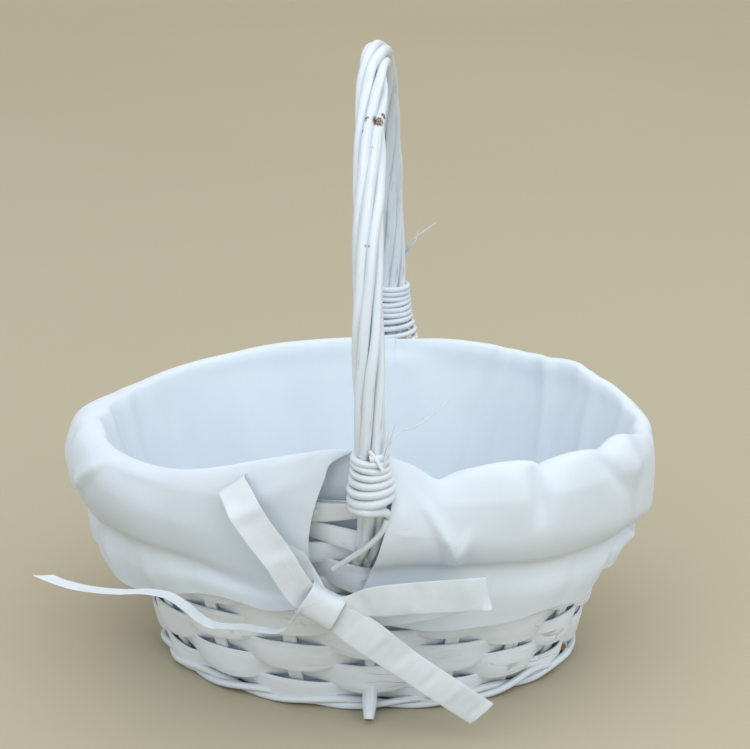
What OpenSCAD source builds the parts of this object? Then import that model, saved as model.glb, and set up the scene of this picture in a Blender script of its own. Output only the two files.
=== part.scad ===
// Oval flower girl basket: split-willow weave, roped hoop handle, fabric liner and ribbon bow.
// The origin is the centre of the base on the floor: +X along the length, -Y the front, +Z up.

/* [Basket] */
// Length of the wall's centreline at the rim
rim_length = 228; // [200:1:260]
// Width of the wall's centreline at the rim
rim_width = 170; // [150:1:200]
// Length of the wall's centreline at the floor
base_length = 168; // [150:1:200]
// Width of the wall's centreline at the floor
base_width = 126; // [115:1:150]
// Height of the woven wall
wall_height = 98; // [90:1:110]

/* [Weave] */
// Splints that cross the base from front to back
cross_splints = 5; // [3:2:7]
// Splints that run along the base from end to end
long_splints = 4; // [2:2:6]
// Rows of weavers below the rim band
weaver_rows = 10; // [8:1:12]
// Width of an upright splint
splint_width = 5; // [3:0.5:6]
// Thickness of an upright splint
splint_thick = 1.6; // [1:0.1:1.8]
// Thickness of a weaver or a rim band
weaver_thick = 1.2; // [0.8:0.1:1.4]
// Height of the rim bands
rim_band = 9; // [7:0.5:10]
// Diameter of the rods round the foot
foot_rod = 3; // [2:0.1:3.2]

/* [Handle] */
// Height of the handle's centreline at its top
handle_height = 250; // [220:1:280]
// Half of the distance between the legs, centre to centre
handle_reach = 94.5; // [94:0.5:100]
// Height at which the legs are furthest apart
handle_waist = 118; // [115:1:125]
// Diameter of one willow rod
rod_d = 4; // [3:0.1:4]
// Turns that the rope of rods makes from one leg to the other
rope_turns = 2.3; // [1.5:0.1:3]
// Diameter of the binding cane
cane_d = 2.2; // [1.5:0.1:2.4]

/* [Fabric] */
// Thickness of the liner
cloth = 0.8; // [0.6:0.1:1]
// Height of the skirt's hem above the floor
hem_height = 42; // [30:1:60]
// Width of the ribbon
ribbon_width = 11.5; // [8:0.5:15]
// Thickness of the ribbon
ribbon_thick = 0.5; // [0.4:0.1:0.8]

/* [Hidden] */
gap = 0.1;
stakes = 2 * (cross_splints + long_splints);
stake_step = 360 / stakes;
weave_swing = 1.7;
weave_reach = weave_swing + weaver_thick / 2;
row_start = 3.5;
row_gap = 0.25;
rim_bottom = wall_height - rim_band;
row_pitch = (rim_bottom - row_start) / weaver_rows;
base_rows = 5;
bundle_r = 1.5 * rod_d;
strand_count = 6;
leg_bottom = 64;
// Angles round the hoop, from the foot of the front leg to the foot of the back leg
hoop_start = asin((leg_bottom - handle_waist) / (handle_height - handle_waist));
hoop_end = 180 - hoop_start;
hoop_step = (hoop_end - hoop_start) / 62;
hoop_angles = [for (i = [0 : 62]) hoop_start + i * hoop_step];
// The hoop leans to the left as it rises
foot_x = 7.2;
apex_x = 3.8;
sway = 1.2;
// Angles of the window that the skirt leaves open in front of each leg
window_left = 98;
window_right = 80;
white_willow = [0.9, 0.92, 0.93];
white_cloth = [0.94, 0.95, 0.98];

function mix(a, b, t) = a + (b - a) * t;
function unit(v) = v / norm(v);
function semi_x(z) = mix(base_length, rim_length, z / wall_height) / 2;
function semi_y(z) = mix(base_width, rim_width, z / wall_height) / 2;
function outward(t, z) = unit([cos(t) / semi_x(z), sin(t) / semi_y(z), 0]);
function along(t, z) = unit([-semi_x(z) * sin(t), semi_y(z) * cos(t), 0]);
// A point beside the wall's centreline, at an angle, a height and a distance outward
function wall(t, z, out = 0) =
  [semi_x(z) * cos(t), semi_y(z) * sin(t), z] + out * outward(t, z);

// A solid through a list of rings that have the same number of points
module sweep(rings, closed = false) {
  n = len(rings);
  m = len(rings[0]);
  sides = [
    for (i = [0 : n - (closed ? 1 : 2)], j = [0 : m - 1])
      let (next = (i + 1) % n, beside = (j + 1) % m)
        each [
          [i * m + j, next * m + j, next * m + beside],
          [i * m + j, next * m + beside, i * m + beside]
        ]
  ];
  caps = closed ? [] : [
    [for (j = [0 : m - 1]) j],
    [for (j = [m - 1 : -1 : 0]) (n - 1) * m + j]
  ];
  polyhedron([for (ring = rings) each ring], concat(sides, caps), convexity = 10);
}

// Ring of a flat strip: centre, width direction, thickness direction
function strip_ring(c, wide, thick, w, t) = [
  c - wide * w / 2 - thick * t / 2,
  c + wide * w / 2 - thick * t / 2,
  c + wide * w / 2 + thick * t / 2,
  c - wide * w / 2 + thick * t / 2
];
// Ring of a round rod in the plane of two directions
function rod_ring(c, e1, e2, r, sides = 6) = [
  for (k = [0 : sides - 1]) let (a = 360 * k / sides) c + r * (cos(a) * e1 + sin(a) * e2)
];

// One splint: up one side of the wall, across the base and up the other side.
// flip mirrors a point across the base.
module splint(t, base_z, middle, wide, flip) {
  down = [0, 0, -1];
  corner_dir = (outward(t, base_z) + down);
  half = [
    strip_ring(wall(t, wall_height - 0.4), along(t, wall_height), outward(t, wall_height),
      splint_width, splint_thick),
    strip_ring(wall(t, base_z), along(t, base_z), corner_dir, splint_width, splint_thick),
    strip_ring(middle, wide, down, splint_width, splint_thick)
  ];
  other = [for (ring = half) [for (p = ring) [for (k = [0 : 2]) p[k] * flip[k]]]];
  color(white_willow) sweep([half[0], half[1], half[2], other[1], other[0]]);
}
cross_z = 0.3 + splint_thick / 2;
long_z = cross_z + splint_thick + gap;
module cross_splint(i) {
  t = -90 + (i - (cross_splints + 1) / 2) * stake_step;
  splint(t, cross_z, [semi_x(cross_z) * cos(t), 0, cross_z], [1, 0, 0], [1, -1, 1]);
}
module long_splint(i) {
  t = (i - (long_splints + 1) / 2) * stake_step;
  splint(t, long_z, [0, semi_y(long_z) * sin(t), long_z], [0, 1, 0], [-1, 1, 1]);
}

// Oval rows that close the base above the splints, from the middle outward
module base_weaver(i) {
  size = mix(0.16, 0.9, (i - 1) / (base_rows - 1));
  z = long_z + splint_thick / 2 + gap;
  half_w = 4.5;
  color(white_willow) sweep([
    for (t = [0 : 10 : 350])
      let (a = semi_x(z) * size, b = semi_y(z) * size, n = unit([cos(t) / a, sin(t) / b, 0]))
        [for (q = [[-half_w, 0], [half_w, 0], [half_w, weaver_thick], [-half_w, weaver_thick]])
          [a * cos(t), b * sin(t), z] + n * q[0] + [0, 0, q[1]]]
  ], true);
}

// A band round the wall whose distance from the centreline may swing
module wall_band(z0, z1, out, thick, swing = 0, phase = 0) {
  color(white_willow) sweep([
    for (s = [0 : 0.25 : stakes - 0.25])
      let (t = -90 + s * stake_step, d = out + swing * cos(180 * (s + phase)))
        [wall(t, z0, d - thick / 2), wall(t, z0, d + thick / 2),
          wall(t, z1, d + thick / 2), wall(t, z1, d - thick / 2)]
  ], true);
}
module wall_weaver(i) {
  z = row_start + (i - 1) * row_pitch;
  wall_band(z, z + row_pitch - row_gap, 0, weaver_thick, weave_swing, i);
}
band_out = splint_thick / 2 + gap + weaver_thick / 2;
module rim_band_outer() wall_band(rim_bottom, wall_height, band_out, weaver_thick);
module rim_band_inner() wall_band(rim_bottom, wall_height, -band_out, weaver_thick);
// The nails' heads on the outer rim band
module rim_nails() {
  z = rim_bottom + rim_band / 2;
  color("silver") for (i = [1 : 4 : stakes - 1]) {
    t = -90 + i * stake_step;
    n = outward(t, z);
    translate(wall(t, z, band_out + weaver_thick / 2 + 0.25))
      rotate([0, 90, atan2(n[1], n[0])]) cylinder(h = 0.5, r = 0.9, $fn = 16);
  }
}

// The lower rod of the foot is an exact oval, so the basket rests on a true flat face
module foot_rod_lower() {
  color(white_willow) linear_extrude(foot_rod) difference() {
    oval(1 + foot_rod);
    oval(1);
  }
}
module oval(out) {
  polygon([for (t = [0 : 5 : 355]) let (p = wall(t, 0, out)) [p[0], p[1]]]);
}
module foot_rod_upper() {
  z = foot_rod + gap;
  wall_band(z, z + foot_rod, weave_reach + gap + foot_rod / 2, foot_rod);
}

// The hoop's centreline and its frame
function hoop_x(y, z) =
  foot_x + (apex_x - foot_x) * max(0, (z - 100) / (handle_height - 100)) - sway * y / handle_reach;
function hoop(u) =
  let (y = -handle_reach * cos(u), z = handle_waist + (handle_height - handle_waist) * sin(u))
    [hoop_x(y, z), y, z];
function hoop_along(u) =
  unit([0, handle_reach * sin(u), (handle_height - handle_waist) * cos(u)]);
function hoop_side(u) = cross(hoop_along(u), [1, 0, 0]);
// Offset from the hoop's centreline at an angle round the bundle
function around(u, a, r) = r * (cos(a) * [1, 0, 0] + sin(a) * hoop_side(u));

// The core stick also runs down outside the wall to a peg at each foot
core_out = 7.5;
core_flare = 6;
peg_tip_z = 1.6;
function core_foot(z, side) =
  let (y = semi_y(z) + core_out + core_flare * pow(max(0, 1 - z / 8), 2))
    [hoop_x(side * handle_reach, 0) - 1.6 * (leg_bottom - z) / leg_bottom, side * y, z];
module handle_core() {
  foot_z = [peg_tip_z, 5, 9, 24, 40, 54];
  r = rod_d / 2;
  x_dir = [1, 0, 0];
  front = [for (z = foot_z) rod_ring(core_foot(z, -1), x_dir, [0, 1, 0], z < 2 ? r * 0.7 : r)];
  arch = [for (u = hoop_angles) rod_ring(hoop(u), x_dir, hoop_side(u), r)];
  back = [
    for (i = [len(foot_z) - 1 : -1 : 0])
      rod_ring(core_foot(foot_z[i], 1), x_dir, [0, -1, 0], foot_z[i] < 2 ? r * 0.7 : r)
  ];
  color(white_willow) sweep(concat(front, arch, back));
}
module handle_strand(i) {
  lay = 360 * rope_turns / (hoop_end - hoop_start);
  color(white_willow) sweep([
    for (u = hoop_angles)
      let (a = 360 * i / strand_count + lay * u)
        rod_ring(hoop(u) + around(u, a, rod_d + 0.05), [1, 0, 0], hoop_side(u), rod_d / 2 - 0.02)
  ]);
}
// Cane coiled round a leg between two heights
module binding_cane(low, high, side) {
  turns = round((high - low) / (cane_d + gap));
  stations = 12;
  r = bundle_r + cane_d / 2 + gap;
  span = handle_height - handle_waist;
  color(white_willow) sweep([
    for (k = [0 : turns * stations])
      let (
        z = mix(low, high, k / (turns * stations)),
        q = asin((z - handle_waist) / span),
        u = side < 0 ? q : 180 - q,
        a = side * 360 * k / stations,
        n = around(u, a, 1)
      )
        rod_ring(hoop(u) + n * r, n, hoop_along(u) * -side, cane_d / 2, 4)
  ]);
}

// The bag: up the outside, over its top edge and down the inside
module liner_bag() {
  floor_z = long_z + splint_thick / 2 + gap + weaver_thick + 0.3;
  top_z = wall_height + 6;
  out = -weave_reach - 0.3;
  levels = [
    [floor_z, out], [top_z, out],
    [top_z, out - cloth], [floor_z + cloth, out - cloth]
  ];
  color(white_cloth) sweep([
    for (q = levels) [for (t = [360 : -7.5 : 7.5]) wall(t, q[0], q[1])]
  ]);
}
// The skirt's profile, as distances outward and heights, from the bag's top edge to the hem
skirt_line = [
  [-3.6, 104.8], [-3, 106.4], [0, 107.4], [3.2, 106.4], [4.6, 103],
  [5.2, 97], [6.8, 80], [8.8, 60], [10.6, hem_height]
];
module skirt(from, to) {
  steps = 40;
  profile = concat(
    skirt_line,
    [for (i = [len(skirt_line) - 1 : -1 : 0]) skirt_line[i] - skirt_inset(i)]
  );
  color(white_cloth) sweep([
    for (k = [0 : steps]) let (t = mix(from, to, k / steps))
      [for (q = profile) wall(t, q[1], q[0])]
  ]);
}
// Inward step from the skirt's outer face to its inner face
function skirt_inset(i) = i < 1 ? [-cloth, 0] : i < 3 ? [-cloth / 2, cloth] : [cloth, i < 5 ? cloth / 2 : 0];
module skirt_left() skirt(-window_left, window_left - 360);
module skirt_right() skirt(-window_right, window_right);

// A ribbon through stations of a centre and a width direction
module ribbon(stations) {
  last = len(stations) - 1;
  color("white") sweep([
    for (i = [0 : last])
      let (
        run = stations[min(i + 1, last)][0] - stations[max(i - 1, 0)][0],
        wide = unit(stations[i][1]),
        thick = unit(cross(run, wide))
      )
        strip_ring(stations[i][0], wide, thick, ribbon_width, ribbon_thick)
  ]);
}
// Chosen stations of the bow, which is tied in front of the left skirt's edge
knot = [-11, -94, 59];
module ribbon_knot() {
  color("white") translate(knot) rotate([0, 40, 0])
    linear_extrude(14, center = true) polygon([[-6, -3], [6, -3], [7, 0], [6, 3], [-6, 3], [-7, 0]]);
}
lean_left = [0.86, 0, 0.5];
module ribbon_loop_left() {
  ribbon([
    [[-17, -95.5, 70], lean_left], [[-27, -98, 87], lean_left], [[-38, -98, 105], lean_left],
    [[-42, -95.5, 110.5], lean_left], [[-40, -93.5, 108.5], lean_left], [[-29, -93, 88], lean_left],
    [[-19, -92.5, 70.5], lean_left]
  ]);
}
module ribbon_loop_right() {
  ribbon([
    [[0, -98, 60.5], [-0.3, 0, 1]], [[19, -100, 62.5], [0, 0, 1]], [[46, -99, 65], [0, 0, 1]],
    [[51, -97.5, 65], [0, 0, 1]], [[52, -96.5, 65], [0, 0, 1]], [[51, -95.5, 65], [0, 0, 1]],
    [[46, -95, 64.5], [0, 0, 1]], [[19, -96, 61.5], [0, 0, 1]], [[0, -96, 59.5], [-0.3, 0, 1]]
  ]);
}
module ribbon_tail_left() {
  ribbon([
    [[-18.5, -92, 54], [0, 1, 0.5]], [[-34, -96, 49], [0, 1, 0.2]], [[-52, -98, 51], [0, 1, 0.2]],
    [[-63, -99, 60], [0.3, 1, 0.2]], [[-78, -100, 66], [0, 1, 0.1]], [[-96, -101, 67], [0, 1, 0.1]],
    [[-113, -102, 74], [0, 1, 0.1]]
  ]);
}
module ribbon_tail_right() {
  ribbon([
    [[-3, -93.5, 50], [0.5, 0, 0.86]], [[22, -93, 35], [0.52, 0, 0.85]],
    [[51, -90, 13.5], [0.56, 0, 0.83]]
  ]);
}

for (i = [1 : cross_splints])
  cross_splint(i);
for (i = [1 : long_splints])
  long_splint(i);
for (i = [1 : base_rows])
  base_weaver(i);
for (i = [1 : weaver_rows])
  wall_weaver(i);
rim_band_outer();
rim_band_inner();
rim_nails();
foot_rod_lower();
foot_rod_upper();
handle_core();
for (i = [1 : strand_count])
  handle_strand(i);
binding_cane(100, 116, -1);  // binding_cane_front
binding_cane(100, 132, 1);  // binding_cane_back
liner_bag();
skirt_left();
skirt_right();
ribbon_knot();
ribbon_loop_left();
ribbon_loop_right();
ribbon_tail_left();
ribbon_tail_right();
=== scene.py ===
import math

import bpy
import numpy as np
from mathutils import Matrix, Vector


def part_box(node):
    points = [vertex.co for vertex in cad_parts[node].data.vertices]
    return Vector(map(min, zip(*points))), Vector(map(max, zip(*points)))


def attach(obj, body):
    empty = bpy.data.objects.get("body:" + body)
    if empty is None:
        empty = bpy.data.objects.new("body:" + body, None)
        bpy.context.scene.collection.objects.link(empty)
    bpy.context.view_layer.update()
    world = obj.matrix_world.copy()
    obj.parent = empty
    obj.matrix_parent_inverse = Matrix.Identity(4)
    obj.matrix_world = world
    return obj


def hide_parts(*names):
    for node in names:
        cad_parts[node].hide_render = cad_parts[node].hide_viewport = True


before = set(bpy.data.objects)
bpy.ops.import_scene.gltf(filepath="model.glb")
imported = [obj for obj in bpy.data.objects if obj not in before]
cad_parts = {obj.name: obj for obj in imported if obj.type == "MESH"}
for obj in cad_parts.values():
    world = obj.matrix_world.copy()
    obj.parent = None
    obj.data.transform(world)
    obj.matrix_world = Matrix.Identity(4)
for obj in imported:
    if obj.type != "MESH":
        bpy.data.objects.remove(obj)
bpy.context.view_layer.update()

# An oval flower girl basket in painted willow. Metres, +X along the oval, -Y the front, +Z up.

# ---------------- sizes taken from the frame
BAND_REACH = 0.00215  # from the wall's centreline to the outer rim band's face
FOOT_REACH = 0.004  # from the wall's centreline to the lower foot rod's face
RIM_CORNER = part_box("rim_band_outer")[1]
FOOT_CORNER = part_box("foot_rod_lower")[1]
WALL_TOP = RIM_CORNER.z
RIM_A, RIM_B = RIM_CORNER.x - BAND_REACH, RIM_CORNER.y - BAND_REACH
FOOT_A, FOOT_B = FOOT_CORNER.x - FOOT_REACH, FOOT_CORNER.y - FOOT_REACH
STAKES = 18
STAKE_STEP = 2 * math.pi / STAKES
ROWS = 10
ROW_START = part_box("wall_weaver_1")[0].z
RIM_BAND_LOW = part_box("rim_band_outer")[0].z
ROW_PITCH = (RIM_BAND_LOW - ROW_START) / ROWS
BAND_MIDDLE = (RIM_BAND_LOW + WALL_TOP) / 2
FRONT = -math.pi / 2  # the angle of the front of the oval
MM = 0.001

# ---------------- camera, light and floor
LOOK_AT = Vector((0.00326, 0.0, 0.11926))
CAMERA_AZIMUTH = math.radians(3.9)
CAMERA_HEIGHT = math.radians(18.72)
CAMERA_DISTANCE = 0.7404
CAMERA_LENS = 85.96
SENSOR_WIDTH = 36
FLOOR_SIDE = 9.0
DAYLIGHT = (0.93, 0.96, 1.0, 1.0)
DAYLIGHT_STRENGTH = 0.72
# The soft lights: name, place, what it faces, size, power and colour
SOFTBOXES = [
    ("overhead", (0.20, -0.45, 1.7), (0, 0, 0.1), (2.8, 2.4), 25.0, (0.93, 0.965, 1.0)),
    ("front_left", (-1.2, -1.6, 1.1), (0, 0, 0.08), (1.6, 1.2), 7.0, (0.88, 0.945, 1.0)),
    ("right_fill", (1.5, -1.3, 0.9), (0, 0, 0.08), (1.4, 1.2), 9.5, (0.90, 0.955, 1.0)),
    ("backdrop", (0.0, 2.6, 1.8), (0, 2.4, 0), (3.4, 1.6), 15.0, (1.0, 0.84, 0.55)),
]


def set_camera():
    data = bpy.data.cameras.new("camera")
    data.lens = CAMERA_LENS
    data.sensor_width = SENSOR_WIDTH
    camera = bpy.data.objects.new("camera", data)
    bpy.context.scene.collection.objects.link(camera)
    back = Vector((
        math.sin(CAMERA_AZIMUTH) * math.cos(CAMERA_HEIGHT),
        -math.cos(CAMERA_AZIMUTH) * math.cos(CAMERA_HEIGHT),
        math.sin(CAMERA_HEIGHT),
    ))
    camera.location = LOOK_AT + back * CAMERA_DISTANCE
    camera.rotation_euler = back.to_track_quat("Z", "Y").to_euler()
    bpy.context.scene.camera = camera


def softbox(name, place, target, size, power, colour):
    data = bpy.data.lights.new(name, "AREA")
    data.shape = "RECTANGLE"
    data.size, data.size_y = size
    data.energy = power
    data.color = colour
    light = bpy.data.objects.new(name, data)
    light.location = place
    light.rotation_euler = (Vector(place) - Vector(target)).to_track_quat("Z", "Y").to_euler()
    bpy.context.scene.collection.objects.link(light)


def set_lights():
    for box in SOFTBOXES:
        softbox(*box)
    world = bpy.data.worlds.new("studio")
    world.use_nodes = True
    background = world.node_tree.nodes["Background"]
    background.inputs["Color"].default_value = DAYLIGHT
    background.inputs["Strength"].default_value = DAYLIGHT_STRENGTH
    bpy.context.scene.world = world
    bpy.context.scene.view_settings.view_transform = "Standard"


def lay_floor(paper):
    bpy.ops.object.select_all(action="DESELECT")
    bpy.ops.mesh.primitive_plane_add(size=FLOOR_SIDE)
    floor = bpy.context.active_object
    floor.name = "floor"
    floor.data.materials.append(paper)


# ---------------- materials
class Flow:
    """A socket of a material's nodes, with the arithmetic that the finishes use."""

    def __init__(self, tree, socket=None):
        self.tree = tree
        self.socket = socket

    def add(self, kind, settings=None, inputs=None, output=0):
        """Any shader node: its type, its settings, and the values or links of its sockets."""
        node = self.tree.nodes.new("ShaderNode" + kind)
        for key, value in (settings or {}).items():
            setattr(node, key, value)
        for key, value in (inputs or {}).items():
            if isinstance(value, Flow):
                self.tree.links.new(value.socket, node.inputs[key])
            else:
                node.inputs[key].default_value = value
        return Flow(self.tree, node.outputs[output])

    def maths(self, operation, *values):
        return self.add("Math", {"operation": operation}, dict(enumerate(values)))

    def __add__(self, other):
        return self.maths("ADD", self, other)

    __radd__ = __add__

    def __sub__(self, other):
        return self.maths("SUBTRACT", self, other)

    def __rsub__(self, other):
        return self.maths("SUBTRACT", other, self)

    def __mul__(self, other):
        return self.maths("MULTIPLY", self, other)

    __rmul__ = __mul__

    def __abs__(self):
        return self.maths("ABSOLUTE", self)

    def scaled(self, x, y, z):
        return self.add("Mapping", None, {"Vector": self, "Scale": (x, y, z)})

    def noise(self, scale, detail=2.0, roughness=0.5):
        values = {"Vector": self, "Scale": scale, "Detail": detail, "Roughness": roughness}
        return self.add("TexNoise", None, values)

    def between(self, low, high):
        """0 at low and 1 at high, with a soft step."""
        settings = {"interpolation_type": "SMOOTHSTEP"}
        values = {"Value": self, "From Min": low, "From Max": high}
        return self.add("MapRange", settings, values)

    def tint(self, first, second):
        """From the first colour to the second as this goes from 0 to 1."""
        return self.add("Mix", {"data_type": "RGBA"}, {0: self, 6: first, 7: second}, 2)

    def near(self, place, low, high):
        """1 near a point and 0 beyond, this being a position."""
        values = {0: self, 1: place}
        far = self.add("VectorMath", {"operation": "DISTANCE"}, values, "Value")
        return far.between(high, low)

    def relief(self, strength, depth):
        values = {"Height": self, "Strength": strength, "Distance": depth}
        return self.add("Bump", None, values)


def finish(name, build, constants, sheer=0.0, glow=(1, 1, 1, 1)):
    """A material whose varying sockets come from build and whose others are constants.
    sheer is the share of the light that comes through from behind, in the colour glow."""
    material = bpy.data.materials.new(name)
    material.use_nodes = True
    tree = material.node_tree
    shader = tree.nodes["Principled BSDF"]
    for key, value in constants.items():
        shader.inputs[key].default_value = value
    for key, flow in build(Flow(tree)).items():
        tree.links.new(flow.socket, shader.inputs[key])
    if sheer:
        flow = Flow(tree, shader.outputs["BSDF"])
        behind = flow.add("BsdfTranslucent", None, {"Color": glow})
        both = flow.add("MixShader", None, {0: sheer, 1: flow, 2: behind})
        tree.links.new(both.socket, tree.nodes["Material Output"].inputs["Surface"])
    return material


def rgb(red, green, blue):
    return (red, green, blue, 1.0)


WHITE_PAINT = rgb(0.755, 0.805, 0.855)
ROD_PAINT = rgb(0.685, 0.74, 0.785)
ROD_SHADE = rgb(0.62, 0.675, 0.72)
THIN_PAINT = rgb(0.58, 0.60, 0.61)
SHADED_PAINT = rgb(0.69, 0.735, 0.77)
GREY_GRAIN = rgb(0.40, 0.385, 0.355)
RAW_WILLOW = rgb(0.46, 0.31, 0.17)
DARK_BARK = rgb(0.12, 0.065, 0.035)
# The satin's shade tones are painted shade and sheen, laid over its crumples and in broad patches
LINER_WHITE = rgb(0.80, 0.87, 0.93)
LINER_SHADE = rgb(0.76, 0.83, 0.895)
RIBBON_WHITE = rgb(0.82, 0.875, 0.92)
RIBBON_SHADE = rgb(0.715, 0.745, 0.77)
PAPER_LIGHT = rgb(0.445, 0.398, 0.290)
PAPER_DARK = rgb(0.43, 0.383, 0.277)
NAIL_STEEL = rgb(0.34, 0.35, 0.36)
CLOTH_SHEER = 0.20  # the share of the light that comes through the satin
# Where the handle's paint has chipped off: place and size, in metres
CHIPS = [
    ((0.0081, -0.0519, 0.2349), 0.0030), ((0.0098, -0.0479, 0.2358), 0.0016),
    ((0.0035, -0.0524, 0.2355), 0.0015), ((0.0060, -0.0612, 0.2273), 0.0012),
    ((0.0061, -0.0830, 0.1957), 0.0013), ((0.0019, -0.0558, 0.2316), 0.0012),
]


def painted(name, along, across, roughness, white=WHITE_PAINT, shade=SHADED_PAINT, chips=()):
    """White paint brushed over split or round willow; the grain runs along the piece."""
    def build(flow):
        strip = flow.add("TexCoord", output="UV")
        place = flow.add("TexCoord", output="Object")
        grain = strip.scaled(along, across, 1).noise(1.0, 3.0, 0.6)
        brush = strip.scaled(along * 0.5, across * 0.22, 1).noise(1.0, 2.0, 0.55)
        cracks = strip.scaled(along * 0.45, across * 0.42, 1).noise(1.0, 1.0)
        mottle = place.noise(70.0, 3.0, 0.6)
        pits = place.noise(900.0, 2.0)
        thin = grain.between(0.42, 0.26) * mottle.between(0.38, 0.62)
        line = abs(cracks - 0.5).between(0.016, 0.004) * place.noise(38.0).between(0.50, 0.64)
        colour = brush.between(0.3, 0.7).tint(shade, white)
        colour = (thin * 0.75).tint(colour, THIN_PAINT)
        colour = (line * 0.7).tint(colour, GREY_GRAIN)
        height = brush * 0.5 + grain * 0.6 + pits * 0.12 - line * 0.5
        for spot, size in chips:
            chip = place.near(spot, size * 0.55, size) * pits.between(0.32, 0.5)
            colour = chip.tint(colour, grain.between(0.48, 0.8).tint(DARK_BARK, RAW_WILLOW))
            height = height - chip * 0.8
        return {
            "Base Color": colour,
            "Roughness": roughness + 0.22 * brush.between(0.35, 0.7),
            "Normal": height.relief(0.55, 0.0005),
        }
    return finish(name, build, {"Specular IOR Level": 0.42})


def cut_ends(name, tone):
    """Bare willow at a cut end, with some paint caught in the fibres."""
    def build(flow):
        place = flow.add("TexCoord", output="Object")
        fibre = place.noise(2600.0, 3.0, 0.7)
        patch = place.noise(420.0, 2.0)
        colour = fibre.between(0.3, 0.7).tint(tone, RAW_WILLOW)
        colour = patch.between(0.50, 0.66).tint(colour, THIN_PAINT)
        return {
            "Base Color": colour,
            "Roughness": 0.75 + 0.2 * fibre,
            "Normal": fibre.relief(0.6, 0.0003),
        }
    return finish(name, build, {"Specular IOR Level": 0.25})


def cloth(name, light, shade, thread, crease, gloss, sheen):
    """Satin: threads both ways across the cut, soft creases, faint slubs, and painted shade and sheen."""
    def build(flow):
        cut = flow.add("TexCoord", output="UV")
        place = flow.add("TexCoord", output="Object")
        warp = cut.scaled(30, thread, 1).noise(1.0, 2.0, 0.6)
        weft = cut.scaled(thread * 0.7, 45, 1).noise(1.0, 2.0, 0.6)
        slub = cut.scaled(18, thread * 0.35, 1).noise(1.0, 2.0, 0.5)
        crumple_and_painted_shade = place.noise(crease, 3.0, 0.55)
        wide = place.noise(crease * 0.3, 2.0, 0.5)
        # Painted shade and sheen: the colour goes to the shade tone where the crumples sink and in broad
        # patches
        colour = (crumple_and_painted_shade * 0.5 + wide * 0.5).between(0.35, 0.62).tint(shade, light)
        colour = (slub.between(0.62, 0.74) * 0.35).tint(colour, light)
        height = warp * 0.10 + weft * 0.08 + slub * 0.05 + crumple_and_painted_shade * 0.55
        return {
            "Base Color": colour,
            "Roughness": gloss + 0.14 * crumple_and_painted_shade.between(0.35, 0.65),
            "Normal": height.relief(0.4, 0.0012),
        }
    shine = {"Specular IOR Level": 0.4, "Sheen Weight": sheen, "Sheen Roughness": 0.45}
    return finish(name, build, shine, CLOTH_SHEER, light)


def nail_paint(name):
    """Painted steel, worn in places down to the metal."""
    def build(flow):
        place = flow.add("TexCoord", output="Object")
        scuff = place.noise(1500.0, 3.0, 0.65)
        return {
            "Base Color": scuff.between(0.52, 0.66).tint(WHITE_PAINT, NAIL_STEEL),
            "Metallic": scuff.between(0.56, 0.66) * 0.8,
            "Roughness": 0.3 + 0.3 * scuff,
            "Normal": scuff.relief(0.4, 0.0002),
        }
    return finish(name, build, {})


def floor_paper(name):
    """Plain matt paper with a faint cloudiness."""
    def build(flow):
        place = flow.add("TexCoord", output="Object")
        cloud = place.noise(1.1, 2.0, 0.5)
        tooth = place.noise(620.0, 2.0, 0.6)
        shade = (cloud * 0.8 + tooth * 0.2).between(0.35, 0.65)
        return {
            "Base Color": shade.tint(PAPER_DARK, PAPER_LIGHT),
            "Roughness": 0.75 + 0.15 * tooth,
            "Normal": tooth.relief(0.08, 0.0004),
        }
    return finish(name, build, {"Specular IOR Level": 0.2})


# ---------------- lines and shapes
def soft_step(x):
    """0 below 0, 1 above 1, and a smooth step between."""
    x = np.clip(x, 0.0, 1.0)
    return x * x * (3 - 2 * x)


def bump(x):
    """A soft hump, 1 at 0."""
    return np.exp(-x * x)


def hermite(x, xs, ys):
    """A smooth curve through heights ys at xs, level beyond its ends; ys may differ for each x."""
    ys = np.broadcast_to(ys.reshape(len(xs), -1), (len(xs), np.size(x)))
    slopes = np.gradient(ys, xs, axis=0)
    i = np.clip(np.searchsorted(xs, x) - 1, 0, len(xs) - 2)
    gap = xs[i + 1] - xs[i]
    t = np.clip((x - xs[i]) / gap, 0, 1)
    n = np.arange(np.size(x))
    rise = (2 * t ** 3 - 3 * t ** 2 + 1) * ys[i, n] + (3 * t ** 2 - 2 * t ** 3) * ys[i + 1, n]
    bend = (t ** 3 - 2 * t ** 2 + t) * slopes[i, n] + (t ** 3 - t ** 2) * slopes[i + 1, n]
    return rise + gap * bend


def through(x, knots):
    """A smooth curve through (x, y) knots, level beyond its ends."""
    xs, ys = np.array(knots, float).T
    x = np.asarray(x, float)
    return hermite(x.ravel(), xs, ys).reshape(x.shape)


def line_through(points, count):
    """Evenly spaced points on a smooth line through the given ones, one column per number."""
    points = np.array(points, float)
    steps = np.linalg.norm(np.diff(points[:, :3], axis=0), axis=1)
    far = np.concatenate([[0], np.cumsum(steps)])
    at = np.linspace(0, far[-1], count)
    return np.stack([through(at, list(zip(far, column))) for column in points.T], axis=1)


def wander(x, seed, pace=1.0):
    """A smooth uneven line between about -1 and 1."""
    total = 0.0
    for k, share in enumerate((0.5, 0.3, 0.2), 1):
        total = total + share * np.sin(pace * x * (k * 1.7 - 0.6) + seed * (2.3 + 1.9 * k))
    return total


def fuller(x, power):
    """A sine or cosine that leaves 0 faster, for sections between an oval and a box."""
    return np.sign(x) * np.abs(x) ** power


def unit(v):
    return np.asarray(v) / np.linalg.norm(v, axis=-1, keepdims=True)


def oval(height):
    """The half length and half width of the wall's centreline at a height."""
    share = height / WALL_TOP
    return FOOT_A + (RIM_A - FOOT_A) * share, FOOT_B + (RIM_B - FOOT_B) * share


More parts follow.
